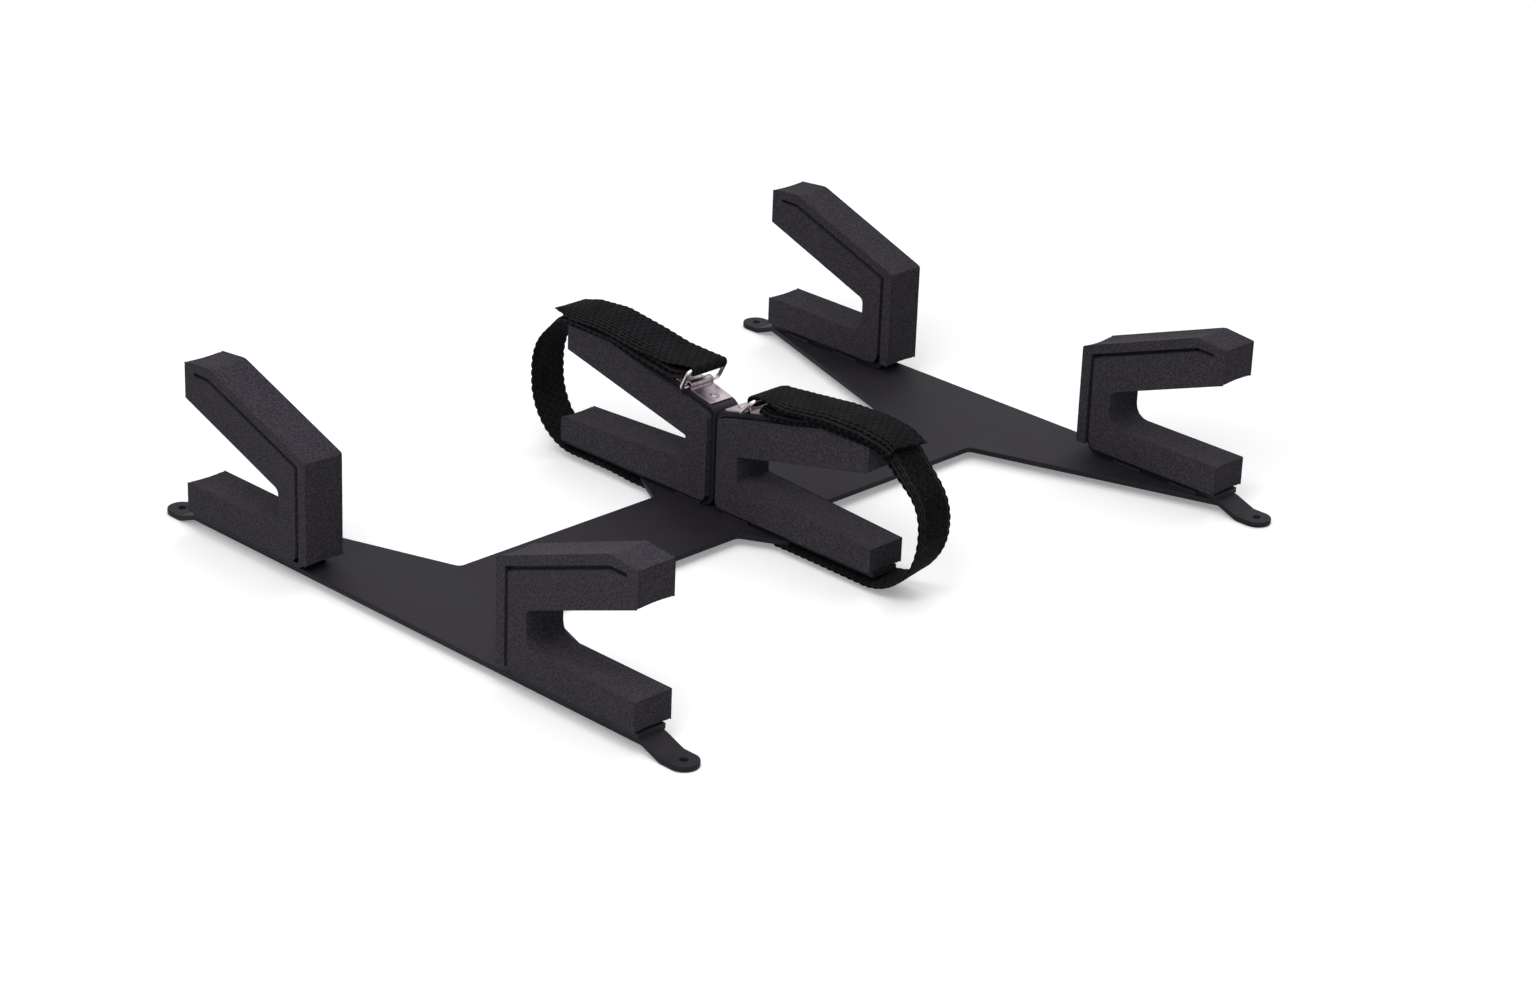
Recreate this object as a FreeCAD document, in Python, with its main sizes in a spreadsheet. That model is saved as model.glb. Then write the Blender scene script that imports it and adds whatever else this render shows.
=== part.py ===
import FreeCAD, Part
import math
import os
import Sketcher
from FreeCAD import Placement, Rotation, Vector

# Kayak rack: one flat H-shaped plate with four cranked tabs, six bent flat bars that
# open outwards to hold the hulls, foam on each bar, and two webbing straps with wire
# rings that close the two middle brackets. Millimetres, Z up, origin on the floor in
# the middle of the plate. X runs along the spine and Y across it. Brackets are drawn
# for the back side, with their mouth towards +Y, and the front ones are turned round.

SHEET_NAME = "Sizes"

DRIVING = [
    ("hole_spacing_x", 685.8, "tab holes, centre to centre along the spine"),
    ("hole_spacing_y", 609.6, "tab holes, centre to centre across the spine"),
    ("hole_radius", 3.4, "tab hole for a quarter inch bolt"),
    ("plate_thick", 4.8, "sheet of the base plate"),
    ("plate_raise", 7.6, "underside of the plate above the tabs' underside"),
    ("arm_width_mid", 101.6, "width of the spine, and of a crossbar where it meets it"),
    ("tab_width", 25.4, "width of a tab and of the crossbar's end"),
    ("crank_start", 272.0, "distance from the spine's middle to the start of the crank"),
    ("crank_run", 20.0, "length of the sloping part of the crank"),
    ("crank_radius", 9.0, "inside bend radius of the crank"),
    ("wing_half_root", 35.5, "half width of the middle wing at the spine"),
    ("wing_half_tip", 14.0, "half width of the middle wing at its end"),
    ("wing_end", 90.0, "end of the middle wing from the spine's middle"),
    ("corner_radius", 6.0, "inside corners of the plate"),
    ("bar_width", 28.5, "flat bar of a bracket"),
    ("bar_thick", 4.8, "thickness of the flat bar"),
    ("bar_bend", 5.0, "inside bend radius of the flat bar"),
    ("foam_width", 38.1, "width of every foam block"),
    ("foam_gap", 0.3, "space between the foam and the bar inside it"),
    ("slit_beyond", 2.0, "how far that slit runs on beyond the bar's tip"),
    ("slit_width", 2.6, "slit in the outer foam's side faces"),
    ("outer_wall", 127.0, "middle of an outer bracket's upright from the spine"),
    ("outer_knee", 104.3, "height where the upright meets the sloping arm, mid bar"),
    ("outer_slope", 0.3545, "rise of the outer arm for each unit outwards"),
    ("outer_flat", 239.5, "where the outer arm turns level"),
    ("outer_tip", 258.0, "end of the bar in the outer arm"),
    ("outer_reach", 271.0, "end of the outer foam and of the bar's foot"),
    ("outer_back", 115.2, "rear face of the outer foam"),
    ("outer_skirt", 20.4, "lower end of the foam behind the upright"),
    ("outer_roof", 110.9, "height of the outer foam's rear top edge"),
    ("outer_crest", 155.5, "height of the outer foam where its top turns"),
    ("outer_nose", 152.4, "height of the outer foam's top at its end"),
    ("outer_lip", 120.5, "height of the upper arm's underside at its end"),
    ("outer_throat", 150.2, "inner wall of the outer mouth"),
    ("outer_gum", 77.3, "height of the upper corner of the outer mouth"),
    ("outer_seat", 44.8, "top of the outer foam's lower arm"),
    ("outer_sole", 18.6, "underside of the outer foam"),
    ("outer_heel_top", 30.0, "top of the wide opening where the bar leaves the foam"),
    ("heel_radius", 9.5, "lower rear corner of the foam in the mouth"),
    ("crest_radius", 14.0, "where the outer foam's top turns down"),
    ("gum_radius", 6.0, "upper corner of the outer mouth"),
    ("seat_radius", 13.0, "lower corner of the outer mouth"),
    ("mid_wall", 3.4, "middle of a middle bracket's upright"),
    ("mid_knee", 100.3, "height where the middle upright meets its arm, mid bar"),
    ("mid_slope", 0.24, "rise of the middle arm for each unit outwards"),
    ("mid_flat", 128.0, "where the middle arm turns level"),
    ("mid_tip", 178.0, "end of the bar on the middle arm"),
    ("mid_lip_reach", 180.0, "end of the middle foam's upper arm"),
    ("mid_reach", 187.0, "end of the middle foam's lower arm"),
    ("mid_lip", 104.7, "height of the middle upper arm's underside at its end"),
    ("mid_throat", 31.4, "inner wall of the middle mouth"),
    ("mid_gum", 71.0, "height of the upper corner of the middle mouth"),
    ("mid_seat_in", 48.0, "top of the middle lower arm at the throat"),
    ("mid_seat_out", 39.5, "top of the middle lower arm at its end"),
    ("mid_round", 6.0, "rear corners of the middle foam"),
    ("foot_end", 270.5, "end of an outer bar's foot"),
    ("mid_foot_end", 186.5, "end of a middle bar's foot"),
    ("shank", 2.4, "radius of every rivet's shank"),
    ("shank_hole", 2.5, "radius of a rivet's hole"),
    ("sink", 2.2, "depth and width of the countersink in a foot"),
    ("anchor_place", 84.0, "rivet that holds the strap and the end of the middle foot"),
    ("tail_radius", 6.5, "radius of that rivet's lower head"),
    ("tail_high", 1.8, "height of that rivet's lower head"),
    ("weld_leg", 3.0, "leg of the weld beads along the feet"),
    ("weld_length", 30.0, "length of each weld bead"),
    ("outer_weld_in", 172.0, "middle of an outer foot's first pair of welds"),
    ("outer_weld_out", 235.0, "middle of an outer foot's second pair of welds"),
    ("mid_weld", 29.0, "middle of a middle foot's pair of welds"),
    ("web_width", 38.1, "webbing of the straps"),
    ("web_thick", 2.0, "thickness of the webbing"),
    ("web_gap", 0.3, "space between the webbing and what it lies on"),
    ("strap_low", 5.3, "underside of the strap where it is riveted"),
    ("ring_place", 36.0, "middle of the saddle from the spine's middle"),
    ("ring_lift", 2.3, "ring's lower bar above the bar that carries it"),
    ("ring_wire", 1.75, "radius of the ring's wire"),
    ("ring_half_width", 22.25, "half width of the ring, mid wire"),
    ("ring_height", 20.5, "height of the ring, mid wire"),
    ("ring_corner", 2.6, "length cut off each corner of the ring, mid wire"),
    ("saddle_width", 25.4, "saddle clip over the ring's lower bar"),
    ("saddle_thick", 1.4, "sheet of the saddle clip"),
    ("saddle_half_length", 28.5, "from the ring to either end of the saddle"),
    ("saddle_channel_half", 2.6, "half width of the saddle's channel, inside"),
    ("saddle_channel_high", 5.6, "height of the saddle's channel, inside"),
    ("saddle_round", 2.2, "inside radius of the channel's roof"),
    ("saddle_tip", 2.0, "rounded corners of the saddle's ends"),
    ("saddle_rivet", 19.5, "rivet from the middle of the saddle"),
    ("rivet_head", 4.2, "radius of a saddle rivet's head"),
    ("rivet_dome", 1.1, "height of a saddle rivet's head"),
    ("rim_bevel", 0.9, "bevelled rim of a rivet's head"),
]

VALUES = {name: value for name, value, _ in DRIVING}

HALF_TURN = Placement(Vector(0, 0, 0), Rotation(Vector(0, 0, 1), 180))

# Lean of each ring from upright, in degrees, towards the mouth of its bracket.
RING_LEAN = {"back": -27.0, "front": 45.0}

# The strap's end is folded round the ring. This moves the fold from the ring's bar.
FOLD_SHIFT = {"back": (0.0, 0.0), "front": (-5.5, -2.5)}

# Where the strap's long part ends beside the ring's upper bar, along and below it.
RUN_END = (5.0, 3.3)

# Route of the strap at mid thickness: distance outwards, height and bend radius of
# each corner, from the cut end under the plate to the ring.
STRAP_ROUTE = {
    "back": [(77.0, 6.3, 0.0), (96.0, 6.3, 60.0), (125.0, 8.2, 60.0), (226.0, 8.2, 54.0),
             (226.0, 96.0, 58.0), (190.0, 134.0, 28.0), (122.0, 134.0, 60.0)],
    "front": [(77.0, 6.2, 0.0), (239.0, 6.6, 50.0), (239.0, 82.0, 57.0), (190.0, 134.0, 30.0),
              (124.0, 134.0, 60.0)],
}

# Route of the folded end from above the ring to its loose tip.
END_ROUTE = {
    "back": [(64.0, 134.0, 80.0), (141.0, 140.4, 60.0), (175.0, 138.6, 60.0), (195.0, 136.6, 0.0)],
    "front": [(50.0, 130.9, 6.0), (86.0, 132.6, 90.0), (128.0, 137.6, 90.0), (166.0, 139.6, 50.0),
              (192.0, 136.8, 40.0), (209.0, 127.5, 0.0)],
}


class Size:
    """A length that carries the sheet expression it comes from."""

    def __init__(self, value, text):
        self.value = value
        self.text = text

    def __add__(self, other):
        other = as_size(other)
        return Size(self.value + other.value, f"({self.text} + {other.text})")

    def __sub__(self, other):
        other = as_size(other)
        return Size(self.value - other.value, f"({self.text} - {other.text})")

    def __mul__(self, other):
        other = as_size(other)
        return Size(self.value * other.value, f"({self.text} * {other.text})")

    def __truediv__(self, other):
        other = as_size(other)
        return Size(self.value / other.value, f"({self.text} / {other.text})")

    def __neg__(self):
        return Size(-self.value, f"(0 - {self.text})")


def as_size(number):
    if isinstance(number, Size):
        return number
    return Size(float(number), repr(float(number)))


def size(name):
    return Size(VALUES[name], f"{SHEET_NAME}.{name}")


def secant(slope):
    """Length of a slope for each unit outwards."""
    return Size(math.sqrt(1 + slope.value ** 2), f"sqrt(1 + {slope.text} * {slope.text})")


def make_sheet(doc):
    sheet = doc.addObject("Spreadsheet::Sheet", SHEET_NAME)
    for row, (name, value, note) in enumerate(DRIVING, start=1):
        sheet.set(f"A{row}", name)
        sheet.set(f"B{row}", str(value))
        sheet.setAlias(f"B{row}", name)
        sheet.set(f"C{row}", note)
    doc.recompute()


def make_body(doc, label):
    body = doc.addObject("PartDesign::Body", label)
    body.Label = label
    return body


def origin_plane(body, role):
    for feature in body.Origin.OriginFeatures:
        if feature.Role == role:
            return feature
    raise ValueError(f"{body.Label} has no {role}")


def add_sketch(body, name, role, offset=None):
    """A sketch on one of the body's own planes, moved along its normal by an offset."""
    sketch = body.newObject("Sketcher::SketchObject", name)
    sketch.AttachmentSupport = [(origin_plane(body, role), "")]
    sketch.MapMode = "FlatFace"
    if offset is not None:
        sketch.setExpression("AttachmentOffset.Base.z", offset.text)
    return sketch


def hold_point(sketch, geometry, place, across, up):
    """Hold a point of the sketch by two sizes from the sketch's origin."""
    for kind, distance in (("DistanceX", across), ("DistanceY", up)):
        rule = Sketcher.Constraint(kind, -1, 1, geometry, place, distance.value)
        index = sketch.addConstraint(rule)
        sketch.setExpression(f"Constraints[{index}]", distance.text)


def draw_outline(sketch, corners):
    """A closed straight-sided outline, each corner held by sizes of the sheet."""
    corners = [(as_size(across), as_size(up)) for across, up in corners]
    points = [Vector(across.value, up.value, 0) for across, up in corners]
    count = len(points)
    lines = [
        sketch.addGeometry(Part.LineSegment(points[index], points[(index + 1) % count]))
        for index in range(count)
    ]
    for index in range(count):
        follower = lines[(index + 1) % count]
        sketch.addConstraint(Sketcher.Constraint("Coincident", lines[index], 2, follower, 1))
    for line, (across, up) in zip(lines, corners):
        hold_point(sketch, line, 1, across, up)


def draw_circle(sketch, across, up, radius):
    across = as_size(across)
    up = as_size(up)
    middle = Vector(across.value, up.value, 0)
    circle = sketch.addGeometry(Part.Circle(middle, Vector(0, 0, 1), radius.value))
    hold_point(sketch, circle, 3, across, up)
    rule = sketch.addConstraint(Sketcher.Constraint("Radius", circle, radius.value))
    sketch.setExpression(f"Constraints[{rule}]", radius.text)


def pad(body, name, sketch, length, midplane=False):
    feature = body.newObject("PartDesign::Pad", name)
    feature.Profile = sketch
    feature.setExpression("Length", length.text)
    if midplane:
        feature.SideType = "Symmetric"
    sketch.Visibility = False
    body.Document.recompute()
    return feature


def pocket(body, name, sketch, length, midplane=False):
    """Cut below the sketch, or to both sides of it, and make sure that it cuts."""
    before = body.Shape.Volume
    feature = body.newObject("PartDesign::Pocket", name)
    feature.Profile = sketch
    feature.setExpression("Length", length.text)
    if midplane:
        feature.SideType = "Symmetric"
    sketch.Visibility = False
    body.Document.recompute()
    if body.Shape.Volume > before - 1.0:
        raise RuntimeError(f"{name} cuts nothing")
    return feature


def revolve(body, name, sketch):
    feature = body.newObject("PartDesign::Revolution", name)
    feature.Profile = sketch
    feature.ReferenceAxis = (sketch, ["V_Axis"])
    feature.Angle = 360
    sketch.Visibility = False
    body.Document.recompute()
    return feature


def mirror(body, name, originals, role):
    feature = body.newObject("PartDesign::Mirrored", name)
    feature.Originals = originals
    feature.MirrorPlane = (origin_plane(body, role), [""])
    body.Tip = feature
    body.Document.recompute()
    return feature


def edges_at(shape, spots):
    """Names of the edges whose middle lies at one of the spots."""
    names = []
    for spot in spots:
        found = [
            f"Edge{index}"
            for index, edge in enumerate(shape.Edges, start=1)
            if (edge.CenterOfMass - spot).Length < 0.05
        ]
        if len(found) != 1:
            raise RuntimeError(f"{len(found)} edges at {spot}")
        names.append(found[0])
    return names


def round_edges(body, name, spots, radius):
    """Round the edges whose middles are given."""
    base = body.Tip
    feature = body.newObject("PartDesign::Fillet", name)
    feature.Base = (base, edges_at(base.Shape, spots))
    feature.setExpression("Radius", radius.text)
    body.Document.recompute()
    return feature


def at_corners(offset, corners, picks):
    """Middles of the edges that a pad to both sides leaves at some corners."""
    picked = [corners[pick] for pick in picks]
    return [Vector(offset, as_size(across).value, as_size(up).value) for across, up in picked]


def plate_top():
    return size("plate_raise") + size("plate_thick")


def four_ways(x, y, z):
    return [Vector(sx * x, sy * y, z) for sx in (-1, 1) for sy in (-1, 1)]


def base_plate(doc):
    """The H-shaped plate with its four cranked tabs and all its holes."""
    body = make_body(doc, "base_plate")
    thick = size("plate_thick")
    under = size("plate_raise")
    top = plate_top()
    hole_x = size("hole_spacing_x") / 2
    hole_y = size("hole_spacing_y") / 2
    half_tab = size("tab_width") / 2
    outer = hole_x + half_tab
    inner = hole_x - half_tab
    spine = size("arm_width_mid") / 2
    root = outer - size("arm_width_mid")
    start = size("crank_start")
    low = start + size("crank_run")

    quarter = [
        (outer, start),
        (inner, start),
        (root, spine),
        (size("wing_half_root"), spine),
        (size("wing_half_tip"), size("wing_end")),
    ]
    outline = list(quarter)
    outline += [(-across, up) for across, up in reversed(quarter)]
    outline += [(-across, -up) for across, up in quarter]
    outline += [(across, -up) for across, up in reversed(quarter)]
    flat = add_sketch(body, "plate_outline", "XY_Plane", under)
    draw_outline(flat, outline)
    pad(body, "plate_sheet", flat, thick)

    side = [(start, under), (low, 0), (hole_y, 0), (hole_y, thick), (low, thick), (start, top)]
    crank = add_sketch(body, "crank_side", "YZ_Plane", hole_x)
    draw_outline(crank, side)
    draw_outline(crank, [(-as_size(across), up) for across, up in side])
    cranks = pad(body, "cranks", crank, size("tab_width"), midplane=True)
    ends = add_sketch(body, "tab_ends", "XY_Plane")
    draw_circle(ends, hole_x, hole_y, half_tab)
    draw_circle(ends, hole_x, -hole_y, half_tab)
    rounds = pad(body, "tab_rounds", ends, thick)
    mirror(body, "other_tabs", [cranks, rounds], "YZ_Plane")

    middle = (under + thick / 2).value
    inside = size("crank_radius")
    outside = inside + thick
    x = hole_x.value
    y = start.value
    round_edges(body, "crank_top_outside", four_ways(x, y, top.value), outside)
    round_edges(body, "crank_top_inside", four_ways(x, y, under.value), inside)
    round_edges(body, "crank_low_outside", four_ways(x, low.value, 0), outside)
    round_edges(body, "crank_low_inside", four_ways(x, low.value, thick.value), inside)
    corners = four_ways(root.value, spine.value, middle)
    corners += four_ways(size("wing_half_root").value, spine.value, middle)
    round_edges(body, "inside_corners", corners, size("corner_radius"))

    holes = add_sketch(body, "bolt_and_rivet_holes", "XY_Plane", top)
    for turn in (1, -1):
        for x in (hole_x, -hole_x):
            draw_circle(holes, x, hole_y * turn, size("hole_radius"))
        draw_circle(holes, 0, size("anchor_place") * turn, size("shank_hole"))
    pocket(body, "drilling", holes, top)
    return body


def arm_line(wall, knee, slope, side):
    """Height of one face of a sloping arm where it crosses the wall's middle line."""
    return knee - slope * wall + side * secant(slope)


def bar_corners(prefix, side, beyond=0):
    """Corners of a bent bar from the wall's foot to its tip and back, a distance to
    both sides of its middle line. Room for a bar can run on beyond the bar's tip."""
    wall = size(prefix + "_wall")
    slope = size(prefix + "_slope")
    turn = size(prefix + "_flat")
    tip = size(prefix + "_tip") + beyond
    knee = size(prefix + "_knee")
    level = knee + slope * (turn - wall)
    shift = side * (secant(slope) - 1) / slope
    above = arm_line(wall, knee, slope, side)
    below = arm_line(wall, knee, slope, -side)
    start = plate_top()
    return [
        (wall - side, start),
        (wall - side, above + slope * (wall - side)),
        (turn - shift, level + side),
        (tip, level + side),
        (tip, level - side),
        (turn + shift, level - side),
        (wall + side, below + slope * (wall + side)),
        (wall + side, start),
    ]


def bent_bar(doc, label, prefix, offset, foot_end):
    """A flat bar bent to an open C: foot on the plate, upright, and rising arm."""
    body = make_body(doc, label)
    thick = size("bar_thick")
    foot = plate_top()
    corners = bar_corners(prefix, thick / 2)
    corners[-1] = (corners[-1][0], foot + thick)
    corners += [(foot_end, foot + thick), (foot_end, foot)]
    sketch = add_sketch(body, "bar_side", "YZ_Plane", offset)
    draw_outline(sketch, corners)
    pad(body, "bar", sketch, size("bar_width"), midplane=True)
    x = offset.value
    inside = size("bar_bend")
    round_edges(body, "bends_inside", at_corners(x, corners, (5, 6, 7)), inside)
    round_edges(body, "bends_outside", at_corners(x, corners, (0, 1, 2)), inside + thick)
    return body


def middle_bar(doc, label):
    """A middle bracket's bar, with holes for the strap's rivet and for the saddle."""
    body = bent_bar(doc, label, "mid", as_size(0), size("mid_foot_end"))
    thick = size("bar_thick")
    top = plate_top() + thick
    seat = add_sketch(body, "rivet_hole", "XY_Plane", top)
    draw_circle(seat, 0, size("anchor_place"), size("shank_hole"))
    pocket(body, "rivet_drilling", seat, thick)
    rim = Vector(0, VALUES["anchor_place"], top.value)
    base = body.Tip
    sunk = body.newObject("PartDesign::Chamfer", "countersink")
    sunk.Base = (base, edges_at(base.Shape, [rim]))
    sunk.setExpression("Size", size("sink").text)
    doc.recompute()

    sketch = body.newObject("Sketcher::SketchObject", "saddle_holes")
    sketch.AttachmentSupport = [(origin_plane(body, "XY_Plane"), "")]
    sketch.MapMode = "FlatFace"
    sketch.AttachmentOffset = saddle_frame()
    for turn in (1, -1):
        draw_circle(sketch, 0, size("saddle_rivet") * turn, size("shank_hole"))
    pocket(body, "saddle_drilling", sketch, thick + 1)
    return body


def saddle_frame():
    """Placement of the saddle: on the top face of the middle bar's sloping arm."""
    slope = size("mid_slope")
    side = size("bar_thick") / 2
    height = arm_line(size("mid_wall"), size("mid_knee"), slope, side)
    place = VALUES["ring_place"]
    tilt = math.degrees(math.atan(slope.value))
    point = Vector(0, place, height.value + slope.value * place)
    return Placement(point, Rotation(Vector(1, 0, 0), tilt))


def outer_pad(doc, label, offset):
    """Foam round an outer bar: it is pushed on over the bar and fills its mouth."""
    body = make_body(doc, label)
    wall = size("outer_wall")
    slit = size("slit_width") / 2
    back = size("outer_back")
    reach = size("outer_reach")
    throat = size("outer_throat")
    heel = size("outer_heel_top")
    corners = [
        (back, size("outer_skirt")),
        (back, size("outer_roof")),
        (size("outer_flat"), size("outer_crest")),
        (reach, size("outer_nose")),
        (reach, size("outer_lip")),
        (throat, size("outer_gum")),
        (throat, size("outer_seat")),
        (reach, size("outer_seat")),
        (reach, size("outer_sole")),
        (wall + slit, size("outer_sole")),
        (wall + slit, heel),
        (wall - slit, heel),
        (wall - slit, size("outer_skirt")),
    ]
    sketch = add_sketch(body, "foam_side", "YZ_Plane", offset)
    draw_outline(sketch, corners)
    pad(body, "foam", sketch, size("foam_width"), midplane=True)
    x = offset.value
    round_edges(body, "upper_mouth", at_corners(x, corners, (5,)), size("gum_radius"))
    round_edges(body, "lower_mouth", at_corners(x, corners, (6,)), size("seat_radius"))
    round_edges(body, "heel", at_corners(x, corners, (9,)), size("heel_radius"))
    round_edges(body, "crest", at_corners(x, corners, (2,)), size("crest_radius"))

    cut = add_sketch(body, "slit_side", "YZ_Plane", offset)
    draw_outline(cut, bar_corners("outer", slit, size("slit_beyond")))
    pocket(body, "slit", cut, size("foam_width") + 2, midplane=True)
    room = size("bar_thick") / 2 + size("foam_gap")
    inside = bar_corners("outer", room, size("foam_gap"))
    hollow = add_sketch(body, "bar_room_side", "YZ_Plane", offset)
    draw_outline(hollow, inside)
    pocket(body, "bar_room", hollow, size("bar_width") + size("foam_gap") * 2, midplane=True)
    round_edges(body, "room_corner", at_corners(x, inside, (6,)), size("bar_bend"))
    return body


def middle_pad(doc, label):
    """Foam in the mouth of a middle bar, held against the bar's inner faces."""
    body = make_body(doc, label)
    room = size("bar_thick") / 2 + size("foam_gap")
    inside = bar_corners("mid", room)
    floor = plate_top() + size("bar_thick") + size("foam_gap")
    back = inside[6][0]
    reach = size("mid_lip_reach")
    corners = [
        (back, floor),
        inside[6],
        inside[5],
        (reach, inside[5][1]),
        (reach, size("mid_lip")),
        (size("mid_throat"), size("mid_gum")),
        (size("mid_throat"), size("mid_seat_in")),
        (size("mid_reach"), size("mid_seat_out")),
        (size("mid_reach"), floor),
    ]
    sketch = add_sketch(body, "foam_side", "YZ_Plane")
    draw_outline(sketch, corners)
    pad(body, "foam", sketch, size("foam_width"), midplane=True)
    round_edges(body, "rear_corners", at_corners(0, corners, (0, 1)), size("mid_round"))
    return body


def straight_and_bends(route):
    """Pieces of a route: straight parts, and bends where a corner has a radius."""
    points = [Vector(across, up, 0) for across, up, _ in route]
    pieces = []
    start = points[0]
    for index in range(1, len(points) - 1):
        corner = points[index]
        radius = route[index][2]
        inward = (corner - points[index - 1]).normalize()
        outward = (points[index + 1] - corner).normalize()
        turn = math.atan2(inward.x * outward.y - inward.y * outward.x, inward.dot(outward))
        reach = radius * math.tan(abs(turn) / 2)
        first = corner - inward * reach
        last = corner + outward * reach
        hand = math.copysign(1.0, turn)
        centre = first + Vector(-inward.y, inward.x, 0) * radius * hand
        pieces.append(("straight", start, first, inward))
        pieces.append(("bend", first, last, centre, radius, hand))
        start = last
    pieces.append(("straight", start, points[-1], (points[-1] - start).normalize()))
    return pieces


def beside(piece, shift):
    """One piece of a route moved to its left by a shift, as geometry of a sketch."""
    if piece[0] == "straight":
        _, start, end, along = piece
        left = Vector(-along.y, along.x, 0) * shift
        return Part.LineSegment(start + left, end + left)
    _, start, end, centre, radius, hand = piece
    circle = Part.Circle(centre, Vector(0, 0, 1), radius - shift * hand)
    if hand < 0:
        start, end = end, start
    first = math.atan2(start.y - centre.y, start.x - centre.x)
    last = math.atan2(end.y - centre.y, end.x - centre.x)
    if last < first:
        last += 2 * math.pi
    return Part.ArcOfCircle(circle, first, last)


def webbing(doc, label, route):
    """A flat strap along a route, square across."""
    body = make_body(doc, label)
    half = VALUES["web_thick"] / 2
    sketch = add_sketch(body, "strap_side", "YZ_Plane")
    pieces = straight_and_bends(route)
    sides = [[beside(piece, shift) for piece in pieces] for shift in (half, -half)]
    for side in sides:
        for line in side:
            sketch.addGeometry(line)
    for piece, end in ((pieces[0], 1), (pieces[-1], 2)):
        along = piece[3]
        left = Vector(-along.y, along.x, 0) * half
        sketch.addGeometry(Part.LineSegment(piece[end] + left, piece[end] - left))
    pad(body, "strap", sketch, size("web_width"), midplane=True)
    return body


def ring_foot():
    """Middle of the ring's lower bar, for the back bracket."""
    return saddle_frame().multVec(Vector(0, 0, VALUES["ring_lift"]))


def ring_top(end):
    """Middle of the ring's upper bar, drawn as if for the back bracket."""
    lean = math.radians(RING_LEAN[end])
    height = VALUES["ring_height"]
    return ring_foot() + Vector(0, math.sin(lean), math.cos(lean)) * height


def long_strap(doc, end):
    """The strap from its rivet under the plate, round the mouth, to the ring."""
    top = ring_top(end)
    route = list(STRAP_ROUTE[end])
    route.append((top.y + RUN_END[0], top.z - RUN_END[1], 0.0))
    body = webbing(doc, f"strap_{end}", route)
    sketch = add_sketch(body, "rivet_hole", "XY_Plane", size("plate_raise"))
    draw_circle(sketch, 0, size("anchor_place"), size("shank_hole") + size("web_gap"))
    pocket(body, "rivet_drilling", sketch, size("plate_raise"))
    return body


def folded_end(doc, end):
    """The strap's end: from under the ring's bar, back over it, to the loose tip."""
    top = ring_top(end)
    round_bar = VALUES["ring_wire"] + VALUES["web_gap"] + VALUES["web_thick"] / 2
    across = top.y + FOLD_SHIFT[end][0] - round_bar
    middle = top.z + FOLD_SHIFT[end][1]
    bend = round_bar - 0.05
    route = [
        (top.y, top.z - round_bar - 0.2, 0.0),
        (across, middle - round_bar, bend),
        (across, middle + round_bar, bend),
    ]
    return webbing(doc, f"strap_end_{end}", route + END_ROUTE[end])


def wire_ring(doc, end):
    """A rectangular wire ring: one round section drawn along a closed path."""
    body = make_body(doc, f"ring_{end}")
    half = size("ring_half_width")
    high = size("ring_height")
    cut = size("ring_corner")
    path = add_sketch(body, "ring_path", "XZ_Plane")
    right = [(half - cut, 0), (half, cut), (half, high - cut), (half - cut, high)]
    draw_outline(path, [(0, 0)] + right + [(-across, up) for across, up in reversed(right)])
    section = add_sketch(body, "ring_section", "YZ_Plane")
    draw_circle(section, 0, 0, size("ring_wire"))
    pipe = body.newObject("PartDesign::AdditivePipe", "ring_wire")
    pipe.Profile = section
    pipe.Spine = path
    pipe.Transition = "Right corner"
    for sketch in (path, section):
        sketch.Visibility = False
    lean = Rotation(Vector(1, 0, 0), -RING_LEAN[end])
    body.Placement = Placement(ring_foot(), lean)
    doc.recompute()
    return body


def saddle(doc, end):
    """A strip over the ring's lower bar: two ends on the arm and a raised channel."""
    body = make_body(doc, f"saddle_{end}")
    sheet = size("saddle_thick")
    half = size("saddle_half_length")
    inner = size("saddle_channel_half")
    high = size("saddle_channel_high")
    outer = inner + sheet
    right = [(inner, high), (inner, 0), (half, 0), (half, sheet), (outer, sheet), (outer, high + sheet)]
    left = [(-across, up) for across, up in reversed(right)]
    corners = right + left
    sketch = add_sketch(body, "saddle_side", "YZ_Plane")
    draw_outline(sketch, corners)
    pad(body, "saddle", sketch, size("saddle_width"), midplane=True)
    bend = size("saddle_round")
    round_edges(body, "roof_inside", at_corners(0, corners, (0, 11)), bend)
    round_edges(body, "roof_outside", at_corners(0, corners, (5, 6)), bend + sheet)
    round_edges(body, "roots", at_corners(0, corners, (4, 7)), sheet)
    tips = four_ways(size("saddle_width").value / 2, half.value, sheet.value / 2)
    round_edges(body, "tips", tips, size("saddle_tip"))
    holes = add_sketch(body, "rivet_holes", "XY_Plane", sheet)
    for turn in (1, -1):
        draw_circle(holes, 0, size("saddle_rivet") * turn, size("shank_hole"))
    pocket(body, "rivet_drilling", holes, sheet)
    body.Placement = saddle_frame()
    return body


def rivet(doc, label, corners):
    """A rivet turned from half of its outline."""
    body = make_body(doc, label)
    sketch = add_sketch(body, "rivet_half", "XZ_Plane")
    draw_outline(sketch, corners)
    revolve(body, "rivet", sketch)
    return body


def strap_rivet(doc):
    """A rivet through the middle foot, the wing and the strap, flush in the foot."""
    head = size("tail_radius")
    shank = size("shank")
    sink = size("sink")
    bevel = size("rim_bevel")
    top = plate_top() + size("bar_thick")
    seat = size("strap_low") - size("web_gap")
    low = seat - size("tail_high")
    corners = [
        (0, low),
        (head - bevel, low),
        (head, seat - bevel / 3),
        (head, seat),
        (shank, seat),
        (shank, top - sink),
        (shank + sink, top),
        (0, top),
    ]
    return rivet(doc, "strap_rivet", corners)


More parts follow.
